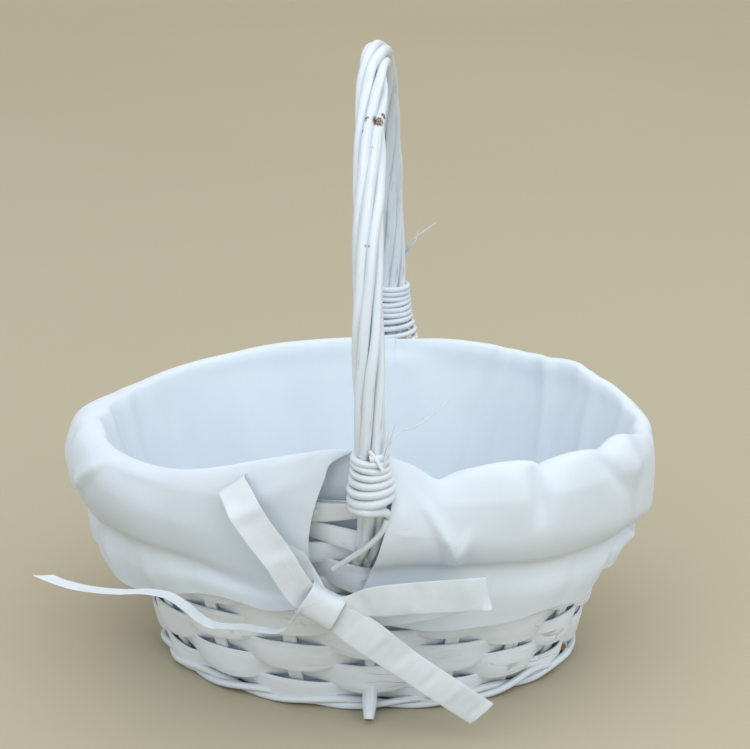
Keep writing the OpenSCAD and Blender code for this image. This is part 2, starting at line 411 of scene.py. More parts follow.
def wall(angle, height, out=0.0):
    """Points beside the wall's centreline, by angle, height and distance outward."""
    angle, height, out = np.broadcast_arrays(np.asarray(angle, float), height, out)
    a, b = oval(height)
    outward = unit(np.stack([np.cos(angle) / a, np.sin(angle) / b, 0 * a], -1))
    return np.stack([a * np.cos(angle), b * np.sin(angle), height], -1) + outward * out[..., None]


def lean(angle):
    """The direction up the wall at an angle."""
    x = (RIM_A - FOOT_A) / WALL_TOP * np.cos(angle)
    y = (RIM_B - FOOT_B) / WALL_TOP * np.sin(angle)
    return unit(np.stack([x, y, 1 + 0 * x], -1))


FRONT_SHIFT = math.radians(4.6)


def from_front(s):
    """Stakes from the middle of the front, less than none on the left."""
    return (s + STAKES / 2) % STAKES - STAKES / 2


def stake_angle(s):
    """The angle of a place counted in stakes; those near the handle stand a little to the right."""
    return FRONT + s * STAKE_STEP + FRONT_SHIFT * bump(from_front(s) / 2.6)


# ---------------- making pieces
def new_blank(name, along, across):
    """A flat grid, 1 by 1, to be shaped."""
    bpy.ops.object.select_all(action="DESELECT")
    bpy.ops.mesh.primitive_grid_add(x_subdivisions=along, y_subdivisions=across, size=1)
    piece = bpy.context.active_object
    piece.name = name
    piece.data.name = name
    return piece


def shape_blank(piece, place, length, width):
    """Moves each point by its share along and across; the cut's size goes in the UV map."""
    mesh = piece.data
    flat = np.empty(3 * len(mesh.vertices), np.float32)
    mesh.vertices.foreach_get("co", flat)
    shares = flat.reshape(-1, 3)[:, :2].astype(float) + 0.5
    mesh.vertices.foreach_set("co", place(shares[:, 0], shares[:, 1]).astype(np.float32).ravel())
    cut = mesh.uv_layers.active.data
    flat = np.empty(2 * len(cut), np.float32)
    cut.foreach_get("uv", flat)
    cut.foreach_set("uv", (flat.reshape(-1, 2) * (length, width)).astype(np.float32).ravel())
    mesh.update()


def close_up(fill=True):
    """Welds the seams, fills the ends and turns every face outward."""
    bpy.ops.object.mode_set(mode="EDIT")
    bpy.ops.mesh.select_all(action="SELECT")
    bpy.ops.mesh.remove_doubles(threshold=1e-6)
    if fill:
        bpy.ops.mesh.fill_holes(sides=0)
    bpy.ops.mesh.normals_make_consistent(inside=False)
    bpy.ops.object.mode_set(mode="OBJECT")


def strip(name, line, side, width, thick, fullness=0.42, across=12, camber=0.0, closed=False):
    """A strip or rod along a line, which side points across; fullness is 1 for a round section
    and less for a flat one, and camber lifts its middle."""
    count = len(line)
    run = unit(np.gradient(line, axis=0))
    if closed:
        run[0] = run[-1] = unit(line[1] - line[-2])
    side = unit(side - run * (side * run).sum(1, keepdims=True))
    face = np.cross(run, side)
    width, thick, camber = (np.broadcast_to(x, count) for x in (width, thick, camber))
    length = np.linalg.norm(np.diff(line, axis=0), axis=1).sum()
    piece = new_blank(name, count - 1, across)

    def place(s, q):
        i = np.rint(s * (count - 1)).astype(int)
        turn = 2 * np.pi * np.rint(q * across) % (2 * np.pi * across) / across
        over, up = fuller(np.cos(turn), fullness), fuller(np.sin(turn), fullness)
        lift = thick[i] / 2 * up + camber[i] * (1 - over ** 2)
        return line[i] + side[i] * (width[i] / 2 * over)[:, None] + face[i] * lift[:, None]

    shape_blank(piece, place, length, 2 * (width.mean() + thick.mean()))
    close_up()
    return piece


def rod(name, line, radius, across=12):
    """A round rod; radius may change along it."""
    run = unit(np.gradient(line, axis=0))
    stands_up = abs(run[:, 2]).max() >= 0.996
    guide = np.array([1.0, 0.02, 0.01]) if stands_up else np.array([0.0, 0.0, 1.0])
    side = np.cross(run, np.broadcast_to(guide, run.shape))
    return strip(name, line, side, 2 * radius, 2 * radius, 1.0, across)


def pick(*pieces):
    """Selects these pieces alone."""
    bpy.ops.object.select_all(action="DESELECT")
    for piece in pieces:
        piece.select_set(True)
    bpy.context.view_layer.objects.active = pieces[0]


def joined(name, pieces):
    """Several meshes made one piece."""
    pick(*pieces)
    bpy.ops.object.join()
    pieces[0].name = name
    pieces[0].data.name = name
    return pieces[0]


SMOOTH_UP_TO = math.radians(38)


def hand_over(piece, slot, nodes, *materials):
    """Gives a piece its finish, the second one on its cut ends, and its place in the frame."""
    pick(piece)
    bpy.ops.object.shade_smooth_by_angle(angle=SMOOTH_UP_TO)
    for material in materials:
        piece.data.materials.append(material)
    if len(materials) > 1:
        for face in piece.data.polygons:
            face.material_index = int(len(face.vertices) > 4)
    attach(piece, "root")
    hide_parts(*nodes)


# ---------------- the woven base and wall
SPLINT_WIDE = 5.8 * MM
SPLINT_THICK = 1.5 * MM
CROSS_STAKES = {1: (-2, 11), 2: (-1, 10), 3: (0, 9), 4: (1, 8), 5: (2, 7)}
LONG_STAKES = {1: (3, 15), 2: (4, 14), 3: (5, 13), 4: (6, 12)}
BASE_MIDDLE = 2.0 * MM
BASE_WAVE = 0.85 * MM
SPLINT_RISE = [96.4, 84, 70, 56, 42, 28, 16, 8, 3.6]  # heights up the wall, in mm
SPLINT_POINTS = 88


def splint(name, stakes, seed, crossings, sign):
    """One splint: down one side of the wall, across the base and up the other side."""
    ends = stake_angle(np.array(stakes))
    heights = np.array(SPLINT_RISE) * MM
    tuck = -1.7 * MM * soft_step((18 * MM - heights) / (14 * MM))
    tuck = tuck - 0.9 * MM * (np.array(stakes) == 0).any()
    down = [wall(angle, heights, tuck) for angle in ends]
    inner = [wall(angle, BASE_MIDDLE, -7 * MM) for angle in ends]
    share = np.linspace(0, 1, 9)[:, None]
    across_base = inner[0] * (1 - share) + inner[1] * share
    line = line_through(np.vstack([down[0], across_base, down[1][::-1]]), SPLINT_POINTS)
    level = soft_step((9 * MM - line[:, 2]) / (6 * MM))
    waves = [bump((line - place) @ axis / (8 * MM)) for place, axis in crossings]
    weave = sum((-1) ** k * wave for k, wave in enumerate(waves))
    line[:, 2] += sign * BASE_WAVE * weave * level
    chord = unit(inner[1] - inner[0])
    flat_side = np.array([-chord[1], chord[0], 0])
    sides = []
    for angle in ends:
        along = unit([-RIM_A * math.sin(angle), RIM_B * math.cos(angle), 0])
        sides.append(along * np.sign(along @ flat_side))
    half = np.arange(len(line)) < len(line) / 2
    upright = np.where(half[:, None], sides[0], sides[1])
    side = upright * (1 - level[:, None]) + flat_side * level[:, None]
    at = np.linspace(0, 20, len(line))
    wide = SPLINT_WIDE * (1 + 0.06 * wander(at, seed))
    return strip(name, line, side, wide, SPLINT_THICK * (1 + 0.08 * wander(at, seed + 4)))


def splints(paint, cut):
    x_axis, y_axis = np.array([1.0, 0, 0]), np.array([0, 1.0, 0])
    cross_at = [(wall(FRONT + k * STAKE_STEP, 0.0), x_axis) for k in range(-2, 3)]
    long_at = [(wall((k - 1.5) * STAKE_STEP, 0.0), y_axis) for k in range(4)]
    kinds = ("cross", CROSS_STAKES, long_at, 0), ("long", LONG_STAKES, cross_at, 9)
    for kind, table, crossings, seed in kinds:
        for i, stakes in table.items():
            name = f"{kind}_splint_{i}"
            piece = splint("willow_" + name, stakes, seed + i, crossings, (-1) ** i)
            hand_over(piece, "painted_splint", [name], paint, cut)


BASE_ROWS = 5
BASE_ROW_HEIGHT = 4.75 * MM
BASE_ROW_WIDE = 8.6 * MM
BASE_ROW_THICK = 1.1 * MM
BASE_ROW_SIZES = (0.16, 0.90)  # the smallest and largest oval, as shares of the foot's


def base_weavers(paint):
    """Flat oval rows over the splints, from the middle outward."""
    turn = np.linspace(0, 2 * np.pi, 145)
    for i, size in enumerate(np.linspace(*BASE_ROW_SIZES, BASE_ROWS), 1):
        a, b = FOOT_A * size, FOOT_B * size
        height = BASE_ROW_HEIGHT + 0.35 * MM * np.cos(STAKES / 2 * turn + i * np.pi)
        line = np.stack([a * np.cos(turn), b * np.sin(turn), height], -1)
        out = np.stack([np.cos(turn) / a, np.sin(turn) / b, 0 * turn], -1)
        wide = BASE_ROW_WIDE * (1 + 0.04 * np.sin(3 * turn + i))
        name = f"base_weaver_{i}"
        piece = strip("willow_" + name, line, unit(out), wide, BASE_ROW_THICK, closed=True)
        hand_over(piece, "painted_splint", [name], paint)


PEG_X = 5 * MM  # how far right of the middle the handle's legs stand
ROW_POINTS = 375
ROW_LAP = 0.42  # how far a row runs past its start at either end, in stakes
ROW_NARROW = 7.8  # the width of a row behind a stake, in mm
DIPS = {8: 3.6, 9: 3.0, 10: 3.4}  # how far the top rows dip beside the front leg, in mm


def past_peg(angle):
    """1 where a row passes a leg of the handle, at the front or the back, and 0 elsewhere."""
    return bump((np.cos(angle) * RIM_A - PEG_X) / (8 * MM))


def wall_weavers(paint, cut):
    """Ten rows of split willow that pass in front of one stake and behind the next."""
    for i in range(1, ROWS + 1):
        start = (5.0 if i % 2 else 6.0) + 2 * (i * 3 % 5)
        s = np.linspace(start - ROW_LAP, start + STAKES + ROW_LAP, ROW_POINTS)
        angle = stake_angle(s)
        in_front = np.tanh(1.25 * np.cos(np.pi * (s + i))) / math.tanh(1.25)
        front = 0.5 + 0.5 * in_front
        into, away = start + 0.25 - s, s - start - STAKES + 0.25
        end = np.maximum(soft_step(into / 0.6), soft_step(away / 0.6))
        out = (0.35 + 2.1 * in_front + 0.25 * wander(s, i, 1.1)) * MM
        room = 2.4 if i == 8 else 1.2
        out += past_peg(angle) * np.where(in_front > 0, room, -0.3) * MM - 0.3 * MM * end
        sag = 0.1 - 1.1 * front + 0.75 * wander(s, i * 1.7, 0.9)
        height = ROW_START + (i - 0.5) * ROW_PITCH + sag * MM
        arc = 0.5 + 0.5 * np.cos(np.pi * (s + i))
        widest = min(13.0, 9.8 + 1.6 * i) if i < 9 else 9.6
        wide = (ROW_NARROW + (widest - ROW_NARROW) * arc ** 0.62 + 0.35 * wander(s, i + 9, 1.3)) * MM
        wide = wide * (1 - 0.25 * end)
        beside_leg = (s - np.rint(s / STAKES) * STAKES + 0.7) / 0.9
        height -= DIPS.get(i, 0) * MM * soft_step(beside_leg) * soft_step(3.0 - beside_leg)
        line = wall(angle, height, out)
        up = lean(angle)
        run = unit(np.gradient(line, axis=0))
        outward = np.cross(run, up)
        tilt = (0.10 * in_front + 0.05 * wander(s, i + 3, 1.7))[:, None]
        side = up - outward * tilt
        name = f"wall_weaver_{i}"
        thick = (1.25 + 0.12 * wander(s, i + 6)) * MM
        piece = strip("willow_" + name, line, side, wide, thick, 0.36, 14, camber=0.35 * MM)
        hand_over(piece, "painted_splint", [name], paint, cut)


BANDS = [("rim_band_outer", 1.5, 2), ("rim_band_inner", -1.5, 5)]  # name, mm outward, seed
BAND_WIDE = 9.0
BAND_THICK = 1.2 * MM


def rim_bands(paint, cut):
    """The bands that clamp the top of the wall, with their lapped ends beside the front leg."""
    for name, out, seed in BANDS:
        s = np.linspace(0.16, STAKES + 0.05, 420)
        angle = stake_angle(s)
        lap = soft_step((0.7 - s) / 0.6) - soft_step((s - STAKES + 0.55) / 0.6)
        last = soft_step((s - STAKES + 0.55) / 0.5)
        height = BAND_MIDDLE + (-0.1 + 0.25 * wander(s, seed) + 1.1 * last) * MM
        line = wall(angle, height, (out + 0.15 * wander(s, seed + 1) + 0.2 * lap) * MM)
        wide = (BAND_WIDE + 0.3 * wander(s, seed + 2)) * MM * (1 - 0.30 * last)
        piece = strip("willow_" + name, line, lean(angle), wide, BAND_THICK, 0.36, 14, 0.25 * MM)
        hand_over(piece, "painted_splint", [name], paint, cut)


NAIL_ANGLES = [math.radians(a) for a in (-96.8, -70, 10, 90, 170, 250)]
NAIL_RADIUS = 0.95 * MM
NAIL_HEAD = 0.6 * MM
NAIL_EDGE = 0.2 * MM


def rim_nails(paint):
    """Round nail heads on the outer band."""
    heads = []
    for k, angle in enumerate(NAIL_ANGLES):
        centre = wall(angle, BAND_MIDDLE, 2.35 * MM)
        outward = centre - wall(angle, BAND_MIDDLE)
        facing = math.atan2(outward[1], outward[0])
        bpy.ops.object.select_all(action="DESELECT")
        bpy.ops.mesh.primitive_cylinder_add(
            vertices=18, radius=NAIL_RADIUS, depth=NAIL_HEAD, location=centre,
            rotation=(0, math.pi / 2, facing))
        head = bpy.context.active_object
        head.name = f"nail_head_{k}"
        bpy.ops.object.transform_apply(location=True, rotation=True, scale=True)
        bpy.ops.object.mode_set(mode="EDIT")
        bpy.ops.mesh.select_all(action="SELECT")
        bpy.ops.mesh.bevel(offset=NAIL_EDGE, segments=2)
        bpy.ops.object.mode_set(mode="OBJECT")
        heads.append(head)
    hand_over(joined("nail_heads", heads), "nail_steel", ["rim_nails"], paint)


FOOT_RODS = [("foot_rod_lower", 3.25, 0), ("foot_rod_upper", 3.75, 1)]  # name, start, first side


def foot_rods(paint, cut):
    """Two rods twined round the stakes at the foot: each goes outside every second stake."""
    for name, start, odd in FOOT_RODS:
        s = np.linspace(start, start + STAKES - 0.28, 520)
        turn = np.pi * (s + odd)
        slack = bump(from_front(s) - 2.9)
        tail = soft_step((s - start - STAKES + 0.9) / 0.6)
        out = (2.2 + 1.45 * np.cos(turn)) * MM + 2.6 * MM * tail
        swing = (1.45 + 0.9 * slack) * np.sin(turn) + 1.5 * slack + 0.1 * wander(s, 3 + odd)
        height = np.maximum(3.05 + swing + tail, 1.55) * MM
        radius = (1.45 + 0.08 * wander(s, 7 + odd, 1.6)) * MM
        piece = rod("willow_" + name, wall(stake_angle(s), height, out), radius, 12)
        hand_over(piece, "painted_willow", [name], paint, cut)


# ---------------- the handle
HOOP_REACH = 94.5 * MM  # half the handle's span
HOOP_WAIST = 118 * MM  # the height where it is widest
HOOP_TOP = 250 * MM
HOOP_RISE = HOOP_TOP - HOOP_WAIST
FOOT_X, APEX_X, SWAY = 7.2 * MM, 3.8 * MM, 1.2 * MM
STRANDS = 6
ROPE_TURNS = 2.3
ROPE_REACH = 4.05  # from the core's line to each rod's line, in mm
ROD_RADIUS = 2.02
LEG_LEFT = 3.6 * MM  # how far left the rods lie where they pass behind the rows
PEG_LEFT = 2.4 * MM
# The core's foot: height and distance outward from the wall's centreline, in mm
PEG_LINE = [
    (1.6, 13.2), (5, 9.6), (8.8, 5.2), (12, 1.9), (17, 0.6), (28, 0.5), (42, 0.5), (56, 0.5),
    (70, 0.5), (79, 2), (87, 5),
]


def hoop_x(y, z):
    """The handle's centreline leans a little from its feet to its top."""
    rise = np.maximum(0, (z - 100 * MM) / (HOOP_TOP - 100 * MM))
    return FOOT_X + (APEX_X - FOOT_X) * rise - SWAY * y / HOOP_REACH


def hoop(u):
    """The handle's centreline by the angle round it, and the two directions across it."""
    y = -HOOP_REACH * np.cos(u)
    z = HOOP_WAIST + HOOP_RISE * np.sin(u)
    run = unit(np.stack([0 * u, HOOP_REACH * np.sin(u), HOOP_RISE * np.cos(u)], -1))
    x_way = np.broadcast_to(np.array([1.0, 0, 0]), run.shape)
    return np.stack([hoop_x(y, z), y, z], -1), x_way, np.cross(run, x_way)


HOOP_LOW = math.asin((60 * MM - HOOP_WAIST) / HOOP_RISE)  # where the rods end
CORE_LOW = math.asin((97 * MM - HOOP_WAIST) / HOOP_RISE)  # where the core's arch begins


def handle_strands(paint, cut):
    """Six rods twisted round the core; at the legs they close up and pass behind the rows."""
    u = np.linspace(HOOP_LOW, math.pi - HOOP_LOW, 420)
    centre, x_way, out_way = hoop(u)
    z = centre[:, 2]
    low = soft_step((90 * MM - z) / (24 * MM))
    sink = 0.50 * soft_step((102 * MM - z) / (13 * MM)) + 0.50 * soft_step((81 * MM - z) / (9 * MM))
    front = np.where(u < math.pi / 2, 1.0, -1.0)
    tuck = np.abs(centre[:, 1]) - oval(z)[1] - 0.4 * MM
    for k in range(1, STRANDS + 1):
        around = 2 * np.pi * k / STRANDS + 2 * np.pi * ROPE_TURNS * u / (math.pi - 2 * HOOP_LOW)
        around = around + 0.16 * wander(u * 6, k * 2.1)
        pinch = 0.25 * bump((z - 190 * MM) / (45 * MM)) + 0.6 * bump((z - 111 * MM) / (11 * MM))
        reach = (ROPE_REACH + 0.28 * wander(u * 7, k + 0.5) - pinch) * MM
        x_off = reach * np.cos(around) * (1 - 0.12 * low) - LEG_LEFT * low
        out_off = reach * np.sin(around) * (1 - 0.75 * low)
        line = centre + x_way * x_off[:, None] + out_way * out_off[:, None]
        line[:, 1] += front * tuck * sink
        radius = (ROD_RADIUS + 0.17 * wander(u * 4, k * 1.3) - 0.55 * low) * MM
        name = f"handle_strand_{k}"
        piece = rod("willow_" + name, line, radius, 16)
        hand_over(piece, "painted_willow", [name], paint, cut)


def handle_core(paint, cut):
    """The core stick: a peg outside the front of the foot, up the wall, over and down the back."""
    height, out = np.array(PEG_LINE).T * MM
    u = np.linspace(CORE_LOW, math.pi - CORE_LOW, 60)
    arch = hoop(u)[0]
    ends = []
    for side in (-1, 1):
        y = side * (oval(height)[1] + out)
        x = hoop_x(side * HOOP_REACH, 0.0) - PEG_LEFT * soft_step((96 * MM - height) / (30 * MM))
        ends.append(np.stack([x, y, height], -1))
    line = line_through(np.vstack([ends[0], arch, ends[1][::-1]]), 520)
    tip = soft_step((7 * MM - line[:, 2]) / (6 * MM))
    peg = soft_step((14 * MM - line[:, 2]) / (5 * MM))
    radius = (2.25 + 0.65 * peg - 0.95 * tip + 0.06 * wander(line[:, 2] * 90, 2)) * MM
    piece = rod("willow_handle_core", line, radius, 16)
    hand_over(piece, "painted_willow", ["handle_core"], paint, cut)


# The turns of cane round each leg: height, reach across, reach outward and slope, in mm
FRONT_TURNS = [
    (121.5, 6, 6.9, 0.2), (119.2, 6.1, 7, 0.1), (116.7, 6.2, 7.2, -0.3), (113.9, 6.5, 7.5, 0.3),
    (110.9, 7, 7.9, 0.5), (107.6, 7.4, 8.2, 0.9), (104, 7.4, 8.6, 1.4), (101.4, 6.9, 8.8, 1.6),
]
BACK_TURNS = [
    (131.4, 6.6, 7, 0), (129.3, 6.6, 7.1, 0.3), (126.9, 6.7, 7.1, -0.2), (124.6, 6.8, 7.3, 0.2),
    (121.9, 7, 7.4, 0.4), (119.4, 7.2, 7.6, 0), (116.7, 7.5, 7.8, 0.3), (113.6, 8.2, 8.1, 0.6),
    (110.2, 9.2, 8.4, 0.8), (106.4, 9.8, 8.8, 1), (102.6, 9.9, 9, 1.2),
]
# Where the front cane goes on down the leg, and its upper end
CANE_TAIL = [
    (14.4, -96.8, 98), (13.2, -96.8, 92.8), (8, -95.6, 85.5), (0.5, -91.6, 78), (-6.6, -87, 71),
]
CANE_STUB = [(8.0, -100.4, 124.2), (10.4, -101.4, 121.6), (13.0, -102.2, 117.6)]
# Loose fibres beside each binding: their lines and thickness
SPLINTERS = [
    ([(13.2, -99.6, 118), (14.8, -99.2, 126), (17.8, -97.5, 135)], 0.75),
    ([(12.4, -99.8, 120), (14, -99.6, 127), (15.2, -98.6, 131.5)], 0.6),
    ([(14.6, -98.8, 124), (17.5, -96, 129), (25, -93, 132), (37, -90, 141)], 0.34),
]
FORKS = [
    ([(8, 100.5, 128), (10.6, 98, 142), (12.4, 95, 151), (18, 93.5, 156), (25, 93, 161.5)], 0.9),
    ([(11.4, 96.4, 147), (14.4, 93.8, 150.6), (17, 93.4, 157.5)], 0.6),
]


def coil(turns, side, seed):
    """A line round a leg, a little flatter on the side that faces the basket."""
    k = np.linspace(0, len(turns) - 1, 26 * (len(turns) - 1))
    columns = np.array(turns, float).T
    height, across, outward, slope = (through(k, list(enumerate(column))) * MM for column in columns)
    u = np.arcsin((height - HOOP_WAIST) / HOOP_RISE)
    centre = hoop(u if side < 0 else math.pi - u)[0]
    angle = 2 * np.pi * k
    reach = outward * np.where(np.cos(angle) < 0, 0.86, 1.0)
    return np.stack([
        centre[:, 0] + across * np.sin(angle),
        centre[:, 1] + side * reach * np.cos(angle),
        height + slope * np.sin(angle) + 0.25 * MM * wander(k * 5, seed),
    ], -1)


def fibres(table, count, tip):
    """Loose fibres that taper to a fine tip."""
    return [
        rod(f"fibre_{k}", line_through(np.array(points) * MM, count), np.linspace(size, tip, count) * MM, 7)
        for k, (points, size) in enumerate(table)
    ]


def binding(paint, cut):
    """The cane round each leg, with its loose ends and splinters."""
    line = np.vstack([coil(FRONT_TURNS, -1, 1)[::3], np.array(CANE_TAIL) * MM])
    line = line_through(line, 320)
    height = line[:, 2]
    coiled = 1.36 * MM + 0.50 * MM * soft_step((116 * MM - height) / (12 * MM))
    thinner = soft_step((100 * MM - height) / (4 * MM))
    wrap = rod("cane_front", line, coiled * (1 - thinner) + 1.15 * MM * thinner, 10)
    stub = rod("cane_stub", line_through(np.array(CANE_STUB) * MM, 12), 0.8 * MM, 8)
    piece = joined("cane_binding_front", [wrap, stub, *fibres(SPLINTERS, 14, 0.12)])
    hand_over(piece, "painted_cane", ["binding_cane_front"], paint, cut)
    wrap = rod("cane_back", line_through(coil(BACK_TURNS, 1, 4)[::3], 420), 1.25 * MM, 10)
    piece = joined("cane_binding_back", [wrap, *fibres(FORKS, 16, 0.15)])
    hand_over(piece, "painted_cane", ["binding_cane_back"], paint, cut)


# ---------------- the liner
CLOTH_THICK = 0.55 * MM
SLIT_FRONT, SLIT_LEFT_BACK, SLIT_RIGHT_BACK = -85.4, -273.5, 86.5  # degrees
BAG_FLOOR = 7.0  # mm above the ground
BAG_OUT = -3.4  # mm outward of the wall's centreline
HALF_GRID = (188, 128)  # faces round and down each half of the liner
# The top of the roll over the rim, as angle in degrees and height in mm
ROLL_TOP = [
    (-275, 107.5), (-264, 107.8), (-249, 107), (-228, 103.8), (-204, 100.4), (-178, 99.9),
    (-160, 100.3), (-146, 99.8), (-133, 100.2), (-122, 101.6), (-114, 104.2), (-107.7, 107.3),
    (-100.7, 111.6), (-94.5, 115.2), (-90.5, 118.3), (-85.4, 118), (-82, 113.8), (-76.6, 106.2),
    (-69, 109.2), (-61.6, 110.6), (-56.4, 109.2), (-53.6, 106.3), (-50.6, 108.2), (-41.5, 108.8),
    (-36.2, 107), (-30, 109.8), (-22, 106), (-8, 101.6), (3, 100.6), (21, 103), (38, 108.2),
    (49, 107.6), (62.6, 108.6), (76.2, 108.8), (86.5, 107.5), (90, 107.5),
]
# The skirt's cross-section: angle, the crest's place outward, the shoulder's place outward and
# height, the crease's place outward and height, and the hanging strip's place outward
SKIRT_SHAPE = [
    (-275, 0.5, 6.5, 84, 6.5, 66, 8), (-240, 0.6, 8, 84, 7, 64, 10), (-205, 1.6, 12, 84, 11, 66, 13.5),
    (-188, 2.6, 16.8, 85, 14.5, 65, 16.5), (-176, 2.8, 17.6, 84, 14.5, 64, 17),
    (-167, 2.6, 16.6, 83, 12.5, 63, 15.5), (-158, 2.2, 14.8, 84, 10, 63, 13.2),
    (-148, 1.8, 13.2, 84, 8, 63.2, 11.2), (-134, 1.4, 11.6, 84, 6.6, 64.4, 9.8),
    (-124, 1.2, 10.4, 84, 6, 63.2, 9.2), (-116, 1, 9.6, 84, 6.2, 60.6, 8.8),
    (-107, 0.8, 8.6, 85, 6.8, 58, 8.6), (-98, 0.4, 7, 86, 7, 58, 8.2), (-92, 0, 7.6, 88, 7.6, 60, 8.4),
    (-87, 0, 12.6, 90, 7.8, 68, 8.4), (-82, 0, 14.2, 91, 6.8, 70, 8.4), (-77, 0.2, 11, 88, 6.2, 69.8, 8.6),
    (-70, 0.5, 10.4, 86, 5.8, 68.4, 8.8), (-61, 0.9, 10.8, 84, 5.8, 66.9, 9),
    (-48, 1.2, 11, 83, 6, 64.8, 9.4), (-32, 1.4, 11.6, 80, 6.4, 64.6, 10),
    (-18, 1.4, 12.4, 76, 7, 63.6, 10.4), (-8, 1.2, 13.2, 72, 7, 62, 10.6),
    (4, 1, 12.6, 73, 7.6, 62, 11), (16, 0.8, 10, 78, 8, 64, 11.5), (45, 0.6, 8.5, 82, 8, 66, 11),
    (90, 0.5, 7, 84, 7, 66, 8),
]
# The hem: angle, height and distance outward
HEM = [
    (-276, 47, 10), (-262, 45, 11), (-240, 48, 13), (-215, 44, 15), (-190, 49, 17), (-170, 49, 17.5),
    (-160, 43, 15), (-152.8, 39.5, 12.5), (-145.5, 41, 10.5), (-133, 46.5, 9.5), (-121, 52, 9.5),
    (-114.5, 51, 9.5), (-108.7, 49.6, 9.5), (-101.6, 51.4, 9.5), (-95, 50, 9), (-84, 46, 8.5),
    (-80, 44.2, 9), (-70, 42, 9.5), (-61.7, 41.5, 9.5), (-51.5, 42.5, 9.5), (-41.3, 43.8, 9.5),
    (-34, 42.4, 10), (-30.5, 43, 10), (-28.5, 47.4, 10), (-18, 51, 10), (-11.7, 55, 10), (0, 52, 11),
    (20, 47, 12), (45, 49, 12), (66, 45, 11), (90, 46, 10),
]
# The edges of the openings round the handle's legs: height and angle
EDGE_LEFT = [
    (40, -94.5), (50, -96), (60, -97.2), (67.9, -97.7), (77, -98), (83, -97.8), (90.7, -97.2),
    (99.8, -96), (108, -94.6), (115.3, -92.8), (119.5, -88.5),
]
EDGE_RIGHT = [
    (40, -84.5), (50, -87), (60.2, -88), (64.9, -87.1), (71, -86), (80.2, -84.8), (87.7, -84),
    (97.3, -82.9), (104.6, -82.4), (112, -82.6), (118, -84.6),
]
EDGE_LEFT_BACK = [(40, -266), (70, -264), (88, -266.5), (98, -272), (107.5, -273.5)]
EDGE_RIGHT_BACK = [(40, 80), (70, 78.5), (88, 80.5), (98, 85.2), (107.5, 86.5)]
# Folds of the skirt: angle and height at both ends, height of the fold, its width before and behind
SKIRT_FOLDS = [
    (-156, 84, -144.4, 102, 3, 2.2, 5), (-146, 100.5, -131, 99, 1.3, 2.2, 4),
    (-151, 92, -120, 84, 0.8, 5, 8), (-94, 112, -110, 96, 0.9, 3, 3.6), (-100, 96, -112, 78, -0.7, 7, 7),
    (-166, 70, -168, 44, -1.5, 2.6, 4), (-158, 66, -157, 42, 1.3, 3, 4), (-150, 62, -152, 42, -1, 3, 5),
    (-141, 60, -138, 46, 0.9, 5, 4), (-127, 60, -126, 48, -0.8, 5, 5), (-172, 98, -170, 76, -1.6, 4, 6),
    (-186, 98, -190, 52, 1.6, 8, 7), (-203, 99, -200, 50, -1.8, 7, 8), (-218, 100, -222, 50, 1.8, 9, 7),
    (-236, 103, -233, 52, -1.5, 8, 8), (-250, 104, -248, 50, 1.6, 8, 8),
    (-82, 105, -79.8, 90, 1.8, 2.6, 4), (-54.6, 108, -53.4, 90, -2.5, 2.6, 3.2),
    (-59, 108, -58, 88, 0.9, 6, 3.5), (-50, 106, -49, 80, 0.9, 3.4, 9),
    (-39.3, 109, -28, 87, -1.7, 3.4, 2.6), (-31, 109, -24, 92, 2.6, 5, 6),
    (-22, 92, -22, 66, -0.8, 5, 6), (-24, 58, -26, 44, -1.2, 3, 3), (-12, 62, -12, 52, 1.4, 3, 4),
    (-38, 60, -40, 44, -0.8, 4, 4), (-3, 98, -2, 60, -1.2, 6, 6), (14, 101, 18, 52, 1.6, 8, 7),
    (32, 105, 30, 52, -1.6, 8, 8), (48, 106, 52, 55, 1.8, 9, 7), (66, 107, 63, 52, -1.4, 8, 8),
]
# Soft upright folds inside the bag: angle, depth inward and width
BAG_FOLDS = [
    (62, 1.8, 4), (55, 1.6, 4), (46, 2.2, 3.6), (38, 2, 4), (28, 2.2, 5), (14, 1.8, 6), (-4, 1.6, 7),
    (-18, 1.2, 6), (-210, 1.4, 7), (-196, 1.6, 6), (-184, 1.8, 5), (-172, 1.6, 6), (-162, 1.6, 5),
    (-235, 0.9, 9), (-255, 0.8, 9), (78, 0.8, 8), (-100, 1, 5), (-73, 0.8, 5), (-52, 1.3, 4),
]
ARC = 1.75  # mm along the oval for a degree
# The two sides of the pointed fold beside the front leg: height and angle
POINT_LEFT = [(71.5, -70.3), (80, -71.2), (90, -73.6), (99, -76.6), (108, -80.5)]
POINT_RIGHT = [(71.5, -70.3), (85, -68.6), (98, -66.8), (110, -64.5)]


def skirt_relief(t, z):
    """How far the skirt's folds stand out, by angle in degrees and height, in mm."""
    total = 0.35 * np.sin(t * 0.13 + 1.0) + 0.25 * np.sin(t * 0.29 + z * 0.05)
    for t0, z0, t1, z1, height, before, behind in SKIRT_FOLDS:
        run = np.array([(t1 - t0) * ARC, z1 - z0])
        length = np.linalg.norm(run)
        run = run / length
        dt, dz = (t - t0) * ARC, z - z0
        along = (dt * run[0] + dz * run[1]) / length
        off = dz * run[0] - dt * run[1]
        shape = bump(off / np.where(off < 0, before, behind))
        ends = soft_step((along + 0.25) / 0.35) * soft_step((1.4 - along) / 0.9)
        total = total + height * shape * ends
    left, right = through(z, POINT_LEFT), through(z, POINT_RIGHT)
    above = soft_step((z - 70.6) / 2.6)
    right_arm = soft_step((91 - z) / 14)
    inside = soft_step((t - left) * ARC / 3 + 0.5) * soft_step((right - t) * ARC / 3 + 0.5)
    lips = np.maximum(bump((t - left) * ARC / 2.2), right_arm * bump((t - right) * ARC / 2.4))
    fade = 1 - 0.7 * soft_step((z - 82) / 24)
    return total + above * fade * (0.5 * inside * right_arm + 2.7 * lips)


